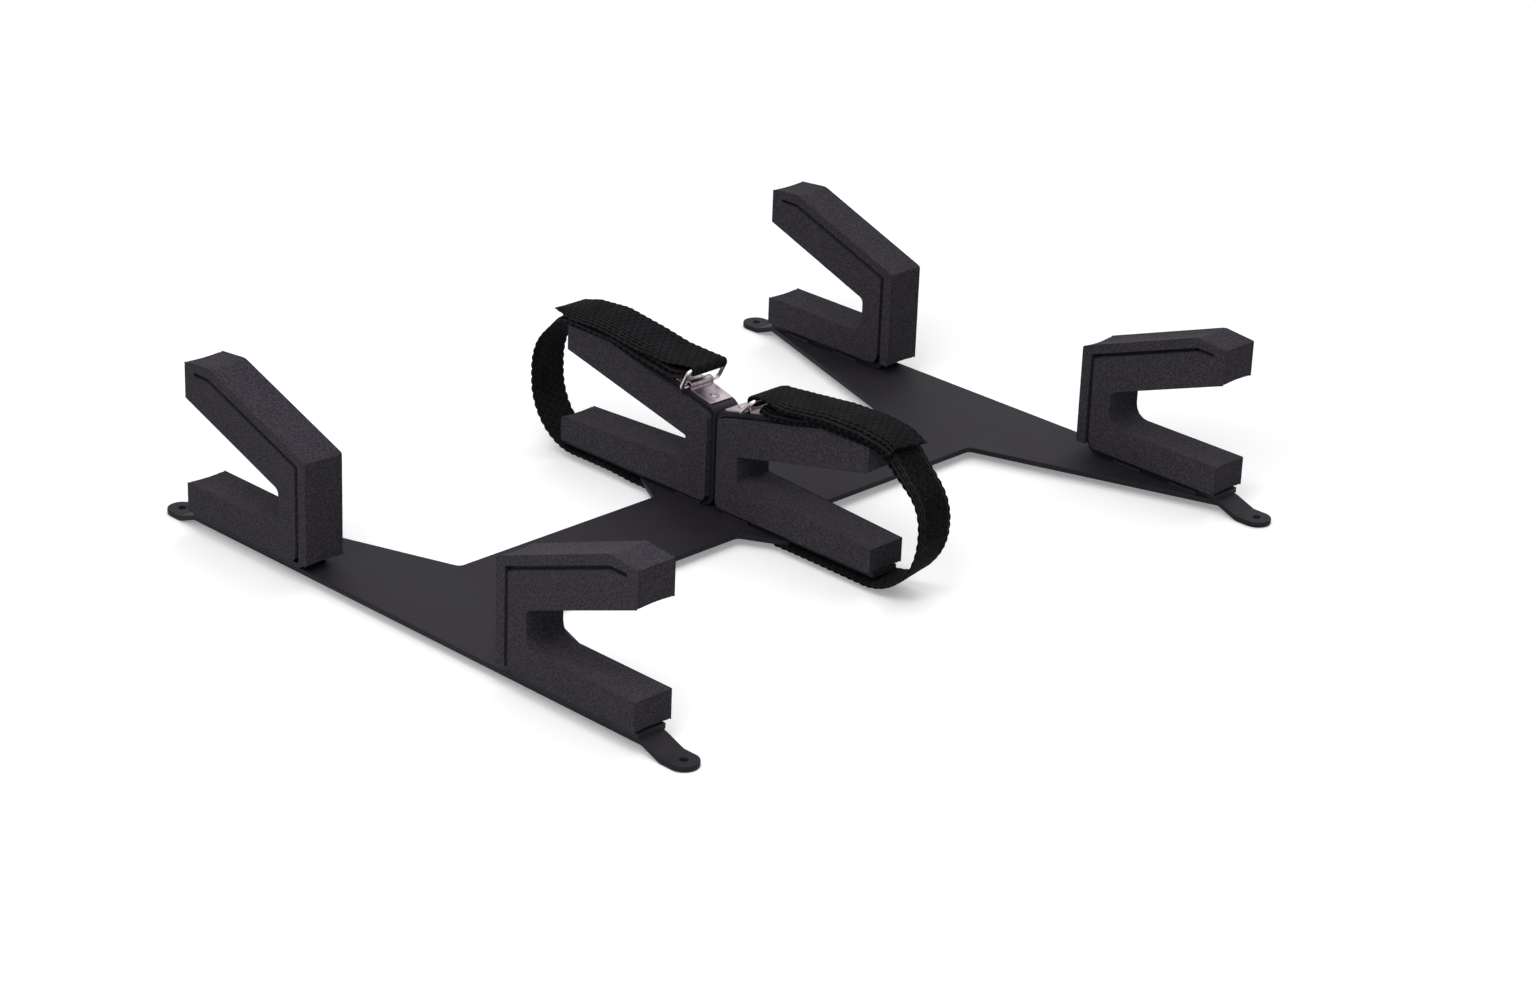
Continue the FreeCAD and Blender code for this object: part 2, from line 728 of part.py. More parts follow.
def saddle_rivet(doc):
    """A low domed rivet through the saddle and the bar, flush under the bar."""
    head = size("rivet_head")
    shank = size("shank")
    sheet = size("saddle_thick")
    bevel = size("rim_bevel")
    crown = sheet + size("rivet_dome")
    corners = [
        (0, -size("bar_thick")),
        (shank, -size("bar_thick")),
        (shank, sheet),
        (head, sheet),
        (head - bevel / 3, crown - bevel / 2),
        (head - bevel, crown),
        (0, crown),
    ]
    return rivet(doc, "saddle_rivet", corners)


def weld_bead(doc):
    """A short bead of weld: a rounded corner fill, its long side along Y."""
    body = make_body(doc, "weld_bead")
    leg = size("weld_leg")
    sketch = add_sketch(body, "bead_section", "XZ_Plane")
    draw_outline(sketch, [(0, 0), (leg, 0), (leg * 0.62, leg * 0.62), (0, leg)])
    pad(body, "bead", sketch, size("weld_length"), midplane=True)
    return body


def weld_places():
    """Where the beads lie: beside each foot, in the corner with the plate."""
    half = VALUES["bar_width"] / 2
    middle = VALUES["hole_spacing_x"] / 2
    floor = plate_top().value
    flip = Rotation(Vector(0, 0, 1), 180)
    places = []
    for turn in (1, -1):
        for along in (VALUES["outer_weld_in"], VALUES["outer_weld_out"]):
            places.append(Placement(Vector(half - middle, turn * along, floor), Rotation()))
            places.append(Placement(Vector(middle - half, turn * along, floor), flip))
        along = VALUES["mid_weld"]
        places.append(Placement(Vector(half, turn * along, floor), Rotation()))
        places.append(Placement(Vector(-half, turn * along, floor), flip))
    return places


def group(doc, label, pattern, placements):
    """Equal copies of one small part as one node of separate solids."""
    node = doc.addObject("Part::Feature", label)
    base = pattern.Shape.copy()
    copies = [base.transformed(place.toMatrix(), True) for place in placements]
    node.Shape = Part.makeCompound(copies)
    node.Label = label
    return node


def turned(placement):
    """The same placement on the other side of the spine."""
    return HALF_TURN.multiply(placement)


def at_point(across, along):
    return Placement(Vector(across, along, 0), Rotation())


def build_rack(doc):
    """All nodes of the rack by name."""
    make_sheet(doc)
    nodes = {"base_plate": base_plate(doc)}
    hole_x = size("hole_spacing_x") / 2
    for end in ("back", "front"):
        side_nodes = {}
        for hand, offset in (("left", -hole_x), ("right", hole_x)):
            if end == "front":
                offset = -offset
            name = f"bar_{hand}_{end}"
            side_nodes[name] = bent_bar(doc, name, "outer", offset, size("foot_end"))
            name = f"foam_{hand}_{end}"
            side_nodes[name] = outer_pad(doc, name, offset)
        side_nodes[f"bar_middle_{end}"] = middle_bar(doc, f"bar_middle_{end}")
        side_nodes[f"foam_middle_{end}"] = middle_pad(doc, f"foam_middle_{end}")
        side_nodes[f"strap_{end}"] = long_strap(doc, end)
        side_nodes[f"strap_end_{end}"] = folded_end(doc, end)
        side_nodes[f"ring_{end}"] = wire_ring(doc, end)
        side_nodes[f"saddle_{end}"] = saddle(doc, end)
        if end == "front":
            for body in side_nodes.values():
                body.Placement = turned(body.Placement)
        nodes.update(side_nodes)

    nodes["weld_beads"] = group(doc, "weld_beads", weld_bead(doc), weld_places())
    places = [at_point(0, turn * VALUES["anchor_place"]) for turn in (-1, 1)]
    nodes["strap_rivets"] = group(doc, "strap_rivets", strap_rivet(doc), places)

    domed = saddle_rivet(doc)
    frame = saddle_frame()
    along_arm = [at_point(0, turn * VALUES["saddle_rivet"]) for turn in (-1, 1)]
    places = [frame.multiply(place) for place in along_arm]
    places += [turned(place) for place in places]
    nodes["saddle_rivets"] = group(doc, "saddle_rivets", domed, places)
    return nodes


def check_document(doc):
    """Stop if any object failed, or has an empty or broken shape."""
    for item in doc.Objects:
        if "Invalid" in item.State or "Error" in item.State:
            raise RuntimeError(f"{item.Label} failed")
        shape = getattr(item, "Shape", None)
        if shape is not None and (shape.isNull() or not shape.isValid()):
            raise RuntimeError(f"{item.Label} has a broken shape")


def export_nodes(nodes):
    os.makedirs("parts", exist_ok=True)
    for name, item in nodes.items():
        if item.Shape.Volume < 1.0:
            raise RuntimeError(f"{name} is empty")
        item.Shape.exportStep(f"parts/{name}.step")


document = FreeCAD.newDocument("kayak_rack")
rack = build_rack(document)
document.recompute()
check_document(document)
export_nodes(rack)
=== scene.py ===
import math

import bmesh
import bpy
from mathutils import Matrix, Vector, noise


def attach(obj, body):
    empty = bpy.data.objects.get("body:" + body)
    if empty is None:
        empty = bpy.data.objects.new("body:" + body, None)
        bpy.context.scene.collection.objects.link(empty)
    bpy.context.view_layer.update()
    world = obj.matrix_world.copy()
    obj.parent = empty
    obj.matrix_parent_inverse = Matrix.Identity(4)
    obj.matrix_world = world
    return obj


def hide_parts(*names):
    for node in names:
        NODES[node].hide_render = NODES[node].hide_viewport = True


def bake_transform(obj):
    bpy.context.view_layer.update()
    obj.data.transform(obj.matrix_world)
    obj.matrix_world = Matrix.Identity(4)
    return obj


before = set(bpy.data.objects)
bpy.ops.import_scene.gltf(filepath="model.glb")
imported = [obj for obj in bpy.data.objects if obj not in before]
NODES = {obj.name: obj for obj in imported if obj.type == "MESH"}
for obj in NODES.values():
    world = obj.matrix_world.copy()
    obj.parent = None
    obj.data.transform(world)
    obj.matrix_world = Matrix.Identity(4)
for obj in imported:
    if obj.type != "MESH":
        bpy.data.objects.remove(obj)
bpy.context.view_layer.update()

# Kayak rack: the looks of the foam, webbing, rings, painted steel and bright fittings.
# Places are in the rack's frame: X along the spine, Y across it, Z up. Lengths are
# written in millimetres and turned to metres by MM. Brackets are drawn for the back
# side, with their mouth towards +Y, and the front ones are turned round.

MM = 0.001
SIDES = ("back", "front")

# The steel: section of the bars, top of the plate, and how far the outer brackets stand
# from the middle.
BAR_THICK = 4.8
BAR_WIDTH = 28.5
PLATE_TOP = 12.4
HOLE_X = 342.9
# Each bent bar by its middle line: where it stands, the height at which it starts to
# slope, how steeply it rises, where it turns level and where it ends.
OUTER_BAR = {"wall": 127.0, "knee": 104.3, "slope": 0.3545, "level_from": 239.5, "tip": 258.0}
MIDDLE_BAR = {"wall": 3.4, "knee": 100.3, "slope": 0.24, "level_from": 128.0, "tip": 178.0}

# The foam: half a block's width, the room round the bar, half the width of the slit that
# shows beside it, the size of its edges, and how far its cut faces are drawn in.
FOAM_HALF = 19.05
FOAM_GAP = 0.3
FOAM_SLIT = 1.85
FOAM_EDGE = 0.7
OUTER_DISH = 1.5
MIDDLE_DISH = 1.3
# Places across half a block where its outline is drawn.
FOAM_PLACES = (0.0, 4.0, 8.0, 12.0)
# Steps of the arc at each corner of an outline.
CORNER_STEPS = 4

# The webbing: its size, the room between it and the ring's wire, and the mesh of a row.
WEB_HALF = 19.05
WEB_THICK = 2.0
WEB_GAP = 0.3
WEB_COLUMNS = 48
ROW_STEPS = 10
# The weave: distance of the ribs, width of a block of them, length of a row, and depth of
# the scallops at the edges.
RIB_PITCH = 2.72
BLOCK_WIDE = 5.44
ROW_PITCH = 7.6
SCALLOP = 1.3
# The loop pile: how far its middle lies to one side, half its width, where along the
# strap it starts, and the width of the cord along each side.
PILE_MIDDLE = 2.0
PILE_HALF = 13.0
PILE_START = 184.0
BORDER = 0.9
# The folded end: where its weave starts, between which lengths its fuller nose thins out,
# over which length its tip is slanted, and how ragged its last row is.
END_START = 300.0
NOSE = (10.0, 34.0)
SLANT_OVER = 30.0
FRAY = 1.4

# The rings: place on the sloped arm, lift off the bar, radius of the wire, half width,
# height, and lean outwards in degrees.
RING_PLACE = 36.0
RING_LIFT = 2.3
RING_WIRE = 1.75
RING_HALF = 22.25
RING_HEIGHT = 20.5
RING_CORNER = 4.0
RING_LEAN = {"back": -27.0, "front": 45.0}
# How far the fold lies outwards of the ring's upper bar and above it, and how far beyond
# and below that bar the long part of the strap stops.
FOLD_SHIFT = {"back": (0.0, 0.0), "front": (-5.5, -2.5)}
RUN_END = (5.0, 3.3)

# Corners of the straps at mid thickness: distance outwards, height and bend radius, then
# how the webbing lies there: moved to the left, rolled to the left, and its left edge
# hanging down. The left is the side that faces the camera.
RUN_ROUTE = {
    "back": [(77.0, 6.3, 0.0, 0, 0, 0), (96.0, 6.3, 60.0, 0, 0, 0), (125.0, 8.2, 60.0, 0, 0, 0),
             (226.0, 8.2, 54.0, 0, 0, 0), (226.0, 96.0, 58.0, 0.5, 0, 0),
             (190.0, 134.0, 28.0, 1.5, 0.3, 3.5), (122.0, 134.0, 60.0, 2.0, 0.0, 5.0),
             (84.0, 130.4, 60.0, 1.8, 2.4, 6.0), (52.0, 126.8, 20.0, 1.0, 3.5, 6.0)],
    "front": [(77.0, 6.2, 0.0, 0, 0, 0), (236.0, 9.0, 59.0, 0, 3.2, 0),
              (237.4, 88.0, 46.0, -0.8, 0, 0), (194.0, 134.0, 30.0, 0.8, 0.3, 5.7),
              (124.0, 134.0, 60.0, 2.0, 0.0, 5.4), (92.0, 127.8, 60.0, 1.6, 2.0, 6.0),
              (68.0, 123.4, 20.0, 1.0, 2.6, 3.6)],
}
# How much sooner the folded end's tip stops at its left edge.
END_SLANT = {"back": 0.0, "front": 8.0}
# Where between its middle and its edge the folded end starts to hang.
END_HANG_FROM = {"back": 0.3, "front": 0.55}
END_ROUTE = {
    "back": [(64.0, 134.0, 80.0, 1.5, 1.8, 2.4), (100.0, 138.2, 90.0, 2.0, 3.2, 3.8),
             (141.0, 142.4, 60.0, 2.0, 3.6, 3.4), (175.0, 140.0, 60.0, 1.5, 2.8, 3.6),
             (196.0, 137.6, 0.0, 1.5, 0.0, -0.5)],
    "front": [(50.0, 131.0, 6.0, 0.3, 0.2, 0.0), (86.0, 133.9, 90.0, 1.8, 1.9, 4.3),
              (128.0, 139.5, 90.0, 1.6, 1.2, 5.7), (166.0, 140.9, 50.0, 1.6, 1.2, 7.0),
              (193.0, 138.4, 40.0, 1.6, 1.2, 8.3), (209.5, 130.5, 0.0, 1.6, 1.2, 7.8)],
}

# The camera stands at the photograph's place. Angles in degrees, distances in metres.
CAMERA_AZIMUTH = -46.0625
CAMERA_ELEVATION = 23.5469
CAMERA_ROLL = 2.2918
CAMERA_DISTANCE = 3.24086
CAMERA_AIM = (0.03702, 0.01346)
IMAGE_WIDTH = 1536
FOCAL_PIXELS = 3797.31
SENSOR = 36.0

# Distant lights: strength, azimuth, angle from overhead and spread, angles in degrees.
SUNS = {
    "right": (0.65, 10.0, 42.0, 38.0),
    "left": (1.0, -172.0, 48.0, 50.0),
    "front": (0.49, -115.0, 45.0, 50.0),
    "behind": (0.35, 90.0, 55.0, 50.0),
    "overhead": (0.75, 0.0, 3.0, 50.0),
}
# A soft light near the left front bracket: power, size, place and aim in metres.
PANEL = (2.8, 0.4, (-0.70, -0.45, 1.0), (-HOLE_X * MM, -0.25, 0.1))


class Paint:
    """A material with one Principled shader and short calls for its nodes."""

    def __init__(self, name):
        self.material = bpy.data.materials.new(name)
        self.material.use_nodes = True
        self.tree = self.material.node_tree
        self.shader = self.tree.nodes["Principled BSDF"]

    def set(self, **values):
        for name, value in values.items():
            socket = self.shader.inputs[name.replace("_", " ")]
            socket.default_value = value

    def link(self, output, target):
        self.tree.links.new(output, target)

    def add(self, kind, **values):
        made = self.tree.nodes.new(kind)
        for name, value in values.items():
            setattr(made, name, value)
        return made

    def place(self):
        """Points of the piece itself, which move with it."""
        return self.add("ShaderNodeTexCoord").outputs["Object"]

    def attribute(self, name):
        return self.add("ShaderNodeAttribute", attribute_name=name).outputs["Fac"]

    def noise(self, vector, scale, detail=3.0, rough=0.55):
        made = self.add("ShaderNodeTexNoise")
        made.inputs["Scale"].default_value = scale
        made.inputs["Detail"].default_value = detail
        made.inputs["Roughness"].default_value = rough
        self.link(vector, made.inputs["Vector"])
        return made.outputs["Fac"]

    def cells(self, vector, scale, feature="F1"):
        made = self.add("ShaderNodeTexVoronoi", feature=feature)
        made.inputs["Scale"].default_value = scale
        self.link(vector, made.inputs["Vector"])
        return made.outputs["Distance"]

    def stretch(self, vector, factors):
        made = self.add("ShaderNodeMapping")
        made.inputs["Scale"].default_value = factors
        self.link(vector, made.inputs["Vector"])
        return made.outputs["Vector"]

    def vector(self, x, y, z=0.0):
        made = self.add("ShaderNodeCombineXYZ")
        for socket, value in zip(made.inputs, (x, y, z)):
            if isinstance(value, float):
                socket.default_value = value
            else:
                self.link(value, socket)
        return made.outputs["Vector"]

    def math(self, operation, first, second=None, third=None):
        made = self.add("ShaderNodeMath", operation=operation)
        for socket, value in zip(made.inputs, (first, second, third)):
            if value is None:
                continue
            if isinstance(value, (int, float)):
                socket.default_value = value
            else:
                self.link(value, socket)
        return made.outputs["Value"]

    def wave(self, value, length):
        """A sine wave of the given length."""
        return self.math("SINE", self.math("MULTIPLY", value, 2 * math.pi / length))

    def spread(self, value, low, high, out_low=0.0, out_high=1.0):
        """Turn the range low to high into the range out_low to out_high."""
        made = self.add("ShaderNodeMapRange")
        made.inputs["From Min"].default_value = low
        made.inputs["From Max"].default_value = high
        made.inputs["To Min"].default_value = out_low
        made.inputs["To Max"].default_value = out_high
        self.link(value, made.inputs["Value"])
        return made.outputs["Result"]

    def between(self, factor, first, second, blend="MIX"):
        """Two colours mixed by a factor; each of the three may be a socket."""
        made = self.add("ShaderNodeMix", data_type="RGBA", blend_type=blend)
        sockets = [s for s in made.inputs if s.type == "RGBA"]
        for socket, value in zip((made.inputs["Factor"], *sockets), (factor, first, second)):
            if isinstance(value, (float, tuple)):
                socket.default_value = value
            else:
                self.link(value, socket)
        return [s for s in made.outputs if s.type == "RGBA"][0]

    def bump(self, height, distance, strength=1.0, under=None):
        made = self.add("ShaderNodeBump")
        made.inputs["Distance"].default_value = distance
        made.inputs["Strength"].default_value = strength
        self.link(height, made.inputs["Height"])
        if under is not None:
            self.link(under, made.inputs["Normal"])
        return made.outputs["Normal"]


def colour(code):
    """Linear colour with alpha from a six digit code."""
    parts = [int(code[index:index + 2], 16) / 255 for index in (0, 2, 4)]
    linear = [p / 12.92 if p <= 0.04045 else ((p + 0.055) / 1.055) ** 2.4 for p in parts]
    return (*linear, 1.0)


def foam_material():
    """Closed-cell foam: fine open cells on cut faces, a little mottled."""
    paint = Paint("foam")
    place = paint.place()
    cells = paint.cells(place, 620.0)
    grain = paint.noise(place, 420.0, 3.0)
    cloud = paint.noise(place, 38.0, 4.0)
    pits = paint.spread(cells, 0.15, 0.75)
    speck = paint.math("ADD", paint.math("MULTIPLY", pits, 0.55), paint.math("MULTIPLY", grain, 0.45))
    base = paint.between(paint.spread(speck, 0.25, 0.75), colour("232125"), colour("46434b"))
    tint = paint.between(paint.spread(cloud, 0.35, 0.65), colour("2b292e"), colour("322f35"))
    paint.link(paint.between(0.3, base, tint), paint.shader.inputs["Base Color"])
    paint.link(paint.bump(speck, 0.0005, 0.9), paint.shader.inputs["Normal"])
    paint.set(Roughness=0.95, Specular_IOR_Level=0.07, Sheen_Weight=0.03, Sheen_Roughness=0.5)
    return paint.material


def coat_material(name, dark, light, rough):
    """Satin powder coat: fine orange peel, faint wear and dust."""
    paint = Paint(name)
    place = paint.place()
    peel = paint.noise(place, 900.0, 2.0)
    cloud = paint.noise(place, 14.0, 5.0)
    dust = paint.noise(place, 260.0, 6.0, 0.7)
    mix = paint.math("ADD", paint.math("MULTIPLY", cloud, 0.7), paint.math("MULTIPLY", dust, 0.3))
    tone = paint.between(paint.spread(mix, 0.38, 0.62), colour(dark), colour(light))
    dull = paint.spread(mix, 0.3, 0.7, rough - 0.05, rough + 0.07)
    paint.link(tone, paint.shader.inputs["Base Color"])
    paint.link(dull, paint.shader.inputs["Roughness"])
    paint.link(paint.bump(peel, 0.00008, 0.6), paint.shader.inputs["Normal"])
    paint.set(Specular_IOR_Level=0.13)
    return paint.material


def metal_material(name, tone, worn, rough, streaks):
    """Bright plated or rolled metal with fine streaks and a few dull patches."""
    paint = Paint(name)
    place = paint.place()
    lines = paint.noise(paint.stretch(place, streaks), 60.0, 4.0, 0.6)
    cloud = paint.noise(place, 120.0, 4.0)
    shade = paint.between(paint.spread(lines, 0.3, 0.7), colour(worn), colour(tone))
    patches = paint.math("MULTIPLY", cloud, lines)
    dull = paint.spread(patches, 0.1, 0.4, rough - 0.06, rough + 0.12)
    paint.link(shade, paint.shader.inputs["Base Color"])
    paint.link(dull, paint.shader.inputs["Roughness"])
    paint.link(paint.bump(lines, 0.00004, 0.5), paint.shader.inputs["Normal"])
    paint.set(Metallic=1.0)
    return paint.material


def webbing_material():
    """Black woven band. Lengthwise ribs stand out in blocks that take turns from row to row, over
    finer twisted yarns; its colour is painted darker where the weave lies low, as painted shade in
    the hollows between ribs and rows. Loop pile and its two cords lie where the mesh says."""
    paint = Paint("webbing")
    along = paint.attribute("along")
    across = paint.attribute("across")
    pile = paint.attribute("pile")
    outer = paint.attribute("outer")
    flat = paint.vector(across, along)
    ribs = paint.spread(paint.wave(across, RIB_PITCH * MM), -0.8, 0.8)
    rows = paint.wave(paint.math("ADD", along, ROW_PITCH * MM / 4), ROW_PITCH * MM)
    blocks = paint.math("MULTIPLY", paint.wave(across, 2 * BLOCK_WIDE * MM), rows)
    ribbed = paint.spread(blocks, -0.3, 0.25, 0.4, 1.0)
    slant = paint.math("ADD", along, paint.math("MULTIPLY", across, 0.8))
    twist = paint.wave(slant, 0.0011)
    yarn = paint.noise(paint.stretch(flat, (2.2, 0.7, 1.0)), 700.0, 3.0)
    weave = paint.math("ADD", paint.math("MULTIPLY", twist, 0.12), yarn)
    # Painted shade: the colour below is darker where the weave lies low, in the hollows between the
    # ribs and in the sunken blocks.
    drop = paint.math("MULTIPLY", paint.math("SUBTRACT", 1.0, ribs), ribbed)
    raised = paint.math("SUBTRACT", paint.spread(weave, 0.2, 0.8, 0.6, 1.0), drop)
    woven = paint.between(paint.spread(raised, 0.15, 0.95), colour("010101"), colour("2e2e31"))

    from_middle = paint.math("ABSOLUTE", paint.math("ADD", across, PILE_MIDDLE * MM))
    beside = paint.math("COMPARE", from_middle, (PILE_HALF + BORDER / 2) * MM, BORDER / 2 * MM)
    woven = paint.between(paint.math("MULTIPLY", beside, outer), woven, colour("333237"))

    strokes = paint.noise(paint.stretch(flat, (0.5, 1.3, 1.0)), 520.0, 5.0, 0.7)
    looped = paint.between(paint.spread(strokes, 0.42, 0.66), colour("020202"), colour("29292c"))
    tone = paint.between(pile, woven, looped)
    patch = paint.noise(paint.place(), 45.0, 3.0)
    dusty = paint.between(paint.spread(patch, 0.3, 0.7), colour("b8b8bc"), colour("ffffff"))
    paint.link(paint.between(1.0, tone, dusty, "MULTIPLY"), paint.shader.inputs["Base Color"])

    cloth = paint.bump(raised, 0.0005, 0.9)
    loops = paint.math("MULTIPLY", strokes, pile)
    paint.link(paint.bump(loops, 0.0009, 0.8, cloth), paint.shader.inputs["Normal"])
    paint.set(Roughness=0.85, Specular_IOR_Level=0.04)
    return paint.material


def rack_materials():
    fine = (1.0, 1.0, 1.0)
    return {
        "foam": foam_material(),
        "plate_paint": coat_material("plate_paint", "19171c", "221e26", 0.62),
        "bar_paint": coat_material("bar_paint", "1c1b1e", "27252a", 0.55),
        "webbing": webbing_material(),
        "ring_nickel": metal_material("ring_nickel", "d6cdcd", "b9adad", 0.24, fine),
        "saddle_steel": metal_material("saddle_steel", "b6aab0", "83787f", 0.36, (2.0, 0.15, 0.15)),
        "rivet_steel": metal_material("rivet_steel", "b4abb2", "7e757d", 0.3, fine),
    }


def finish_node(name, material, edge):
    """Give a kept solid its material and a slight round along its edges."""
    item = NODES[name]
    item.data.materials.clear()
    item.data.materials.append(material)
    if edge > 0:
        weld = item.modifiers.new("join", "WELD")
        weld.merge_threshold = 0.00001
        bevel = item.modifiers.new("soft_edges", "BEVEL")
        bevel.width = edge * MM
        bevel.segments = 2
        bevel.limit_method = "ANGLE"
        bevel.angle_limit = math.radians(35)
        bevel.harden_normals = True


def new_piece(name, points, faces, material):
    """A mesh object in metres from points in millimetres."""
    mesh = bpy.data.meshes.new(name)
    mesh.from_pydata([tuple(v * MM for v in point) for point in points], [], faces)
    mesh.validate()
    mesh.materials.append(material)
    item = bpy.data.objects.new(name, mesh)
    bpy.context.scene.collection.objects.link(item)
    work = bmesh.new()
    work.from_mesh(mesh)
    bmesh.ops.recalc_face_normals(work, faces=work.faces)
    for face in work.faces:
        face.smooth = True
    work.to_mesh(mesh)
    work.free()
    return item


def turned(points, end):
    """Points of a back piece as they are for that end."""
    if end == "back":
        return points
    return [(-x, -y, z) for x, y, z in points]


def rounded(corners, steps=CORNER_STEPS):
    """A closed outline with an arc at each corner: across, up and radius of each."""
    points = []
    count = len(corners)
    for index, (across, up, radius) in enumerate(corners):
        corner = Vector((across, up))
        before = Vector(corners[index - 1][:2])
        after = Vector(corners[(index + 1) % count][:2])
        inward = (corner - before).normalized()
        outward = (after - corner).normalized()
        turn = math.atan2(inward.x * outward.y - inward.y * outward.x, inward.dot(outward))
        if radius <= 0 or abs(turn) < 0.02:
            points.append(corner)
            continue
        reach = radius * math.tan(abs(turn) / 2)
        first = corner - inward * reach
        hand = math.copysign(1.0, turn)
        centre = first + Vector((-inward.y, inward.x)) * radius * hand
        for step in range(steps + 1):
            angle = turn * step / steps
            spoke = first - centre
            spoke.rotate(Matrix.Rotation(angle, 2))
            points.append(centre + spoke)
    return points


def inset(points, distances):
    """Move each point of a closed clockwise outline inwards by its own distance."""
    moved = []
    count = len(points)
    for index, point in enumerate(points):
        inward = (point - points[index - 1]).normalized()
        outward = (points[(index + 1) % count] - point).normalized()
        square = Vector((-inward.y, inward.x))
        side = square + Vector((-outward.y, outward.x))
        side.normalize()
        stretch = 1.0 / max(0.5, side.dot(square))
        moved.append(point - side * distances[index] * stretch)
    return moved


def bar_corners(bar, side, beyond=0.0):
    """Corners of a bent bar, a distance to both sides of its middle line."""
    wall = bar["wall"]
    slope = bar["slope"]
    turn = bar["level_from"]
    tip = bar["tip"] + beyond
    secant = math.sqrt(1 + slope ** 2)
    knee = bar["knee"] - slope * wall
    level = bar["knee"] + slope * (turn - wall)
    shift = side * (secant - 1) / slope
    above = knee + side * secant
    below = knee - side * secant
    return [
        (wall - side, above + slope * (wall - side)),
        (turn - shift, level + side),
        (tip, level + side),
        (tip, level - side),
        (turn + shift, level - side),
        (wall + side, below + slope * (wall + side)),
    ]


def outer_outline(gap, beyond):
    """Corners of the outer foam from the side: those of the block, then those of the
    channel for the bar, which reaches a gap to both sides and past the bar's tip."""
    heel_top = 30.0
    channel = bar_corners(OUTER_BAR, gap, beyond)
    wall = OUTER_BAR["wall"]
    outside = [
        (115.2, 20.4, FOAM_EDGE), (115.2, 110.9, 2.5), (239.5, 155.5, 14.0),
        (271.0, 152.4, FOAM_EDGE), (271.0, 120.5, FOAM_EDGE), (150.2, 77.3, 6.0),
        (150.2, 44.8, 13.0), (271.0, 44.8, FOAM_EDGE), (271.0, 18.6, FOAM_EDGE),
        (wall + gap, 18.6, 9.5),
    ]
    inside = [(wall + gap, heel_top, 0.4)]
    inside += [(across, up, 0.4 + gap) for across, up in reversed(channel)]
    inside += [(wall - gap, heel_top, 0.4), (wall - gap, 20.4, 0.4)]
    return outside, inside


def dish(x, depth):
    """How far a cut face is drawn in at a place across the foam's width."""
    return depth * (1 - (x / FOAM_HALF) ** 2)


def loft_across(name, half, material, end, offset):
    """Skin closed outlines, each with its place across. They are given for one half, from
    the middle outwards, and mirrored for the other. Both ends are closed."""
    rings = [(-x, outline) for x, outline in reversed(half[1:])] + half
    points = []
    for x, outline in rings:
        points += [(offset + x, p.x, p.y) for p in outline]
    count = len(rings[0][1])
    faces = []
    for ring in range(len(rings) - 1):
        for index in range(count):
            after = (index + 1) % count
            a = ring * count
            b = a + count
            faces.append((a + index, a + after, b + after, b + index))
    last = (len(rings) - 1) * count
    faces.append(tuple(range(count)))
    faces.append(tuple(last + index for index in reversed(range(count))))
    item = new_piece(name, turned(points, end), faces, material)
    normals = item.modifiers.new("flat_faces", "WEIGHTED_NORMAL")
    normals.weight = 80
    return item


def lip_steps(steps=3):
    """Places across and insets next to a side face, whose edges stand out in a thin lip."""
    for step in range(steps + 1):
        share = 1 - math.sin(math.pi / 2 * step / steps)
        yield FOAM_HALF - FOAM_EDGE * share, FOAM_EDGE * share


def outer_foam(hand, end, offset, material):
    """An outer block: a wide channel round the bar, and a narrow slit at both sides."""
    room = BAR_THICK / 2 + 0.15
    room_half = BAR_WIDTH / 2 + FOAM_GAP

    def outline(x, gap, beyond, extra):
        outside, inside = outer_outline(gap, beyond)
        body = rounded(outside + inside)
        block = len(rounded(outside + inside[:1])) - (CORNER_STEPS + 1)
        depths = [dish(x, OUTER_DISH) + extra if index < block else extra * 0.6
                  for index in range(len(body))]
        return inset(body, depths)

    half = [(x, outline(x, room, 0.3, 0.0)) for x in (*FOAM_PLACES, room_half - 0.05)]
    half.append((room_half + 0.05, outline(room_half, FOAM_SLIT, 1.5, 0.0)))
    half += [(x, outline(x, FOAM_SLIT, 1.5, extra)) for x, extra in lip_steps()]
    item = loft_across(f"foam_block_{hand}_{end}", half, material, end, offset)
    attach(item, "rack")
    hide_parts(f"foam_{hand}_{end}")


def middle_foam(end, material):
    """A middle block, which hugs the bar's inner side and leaves its crest bare."""
    inside = bar_corners(MIDDLE_BAR, BAR_THICK / 2 + FOAM_GAP)
    wall, crest = inside[5], inside[4]
    floor = PLATE_TOP + BAR_THICK + FOAM_GAP
    corners = [
        (wall[0], floor, 6.0), (*wall, 6.0), (*crest, 8.0), (180.0, crest[1], FOAM_EDGE),
        (180.0, 104.7, FOAM_EDGE), (31.4, 71.0, 1.0), (31.4, 48.0, 1.0), (187.0, 39.5, FOAM_EDGE),
        (187.0, floor, FOAM_EDGE),
    ]

    def outline(x, extra):
        body = rounded(corners)
        free = [0.0 if point.x < wall[0] + 1 else 1.0 for point in body]
        return inset(body, [dish(x, MIDDLE_DISH) * share + extra for share in free])

    half = [(x, outline(x, 0.0)) for x in (*FOAM_PLACES, 15.5)]
    half += [(x, outline(x, extra)) for x, extra in lip_steps()]
    item = loft_across(f"foam_block_middle_{end}", half, material, end, 0.0)
    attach(item, "rack")
    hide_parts(f"foam_middle_{end}")


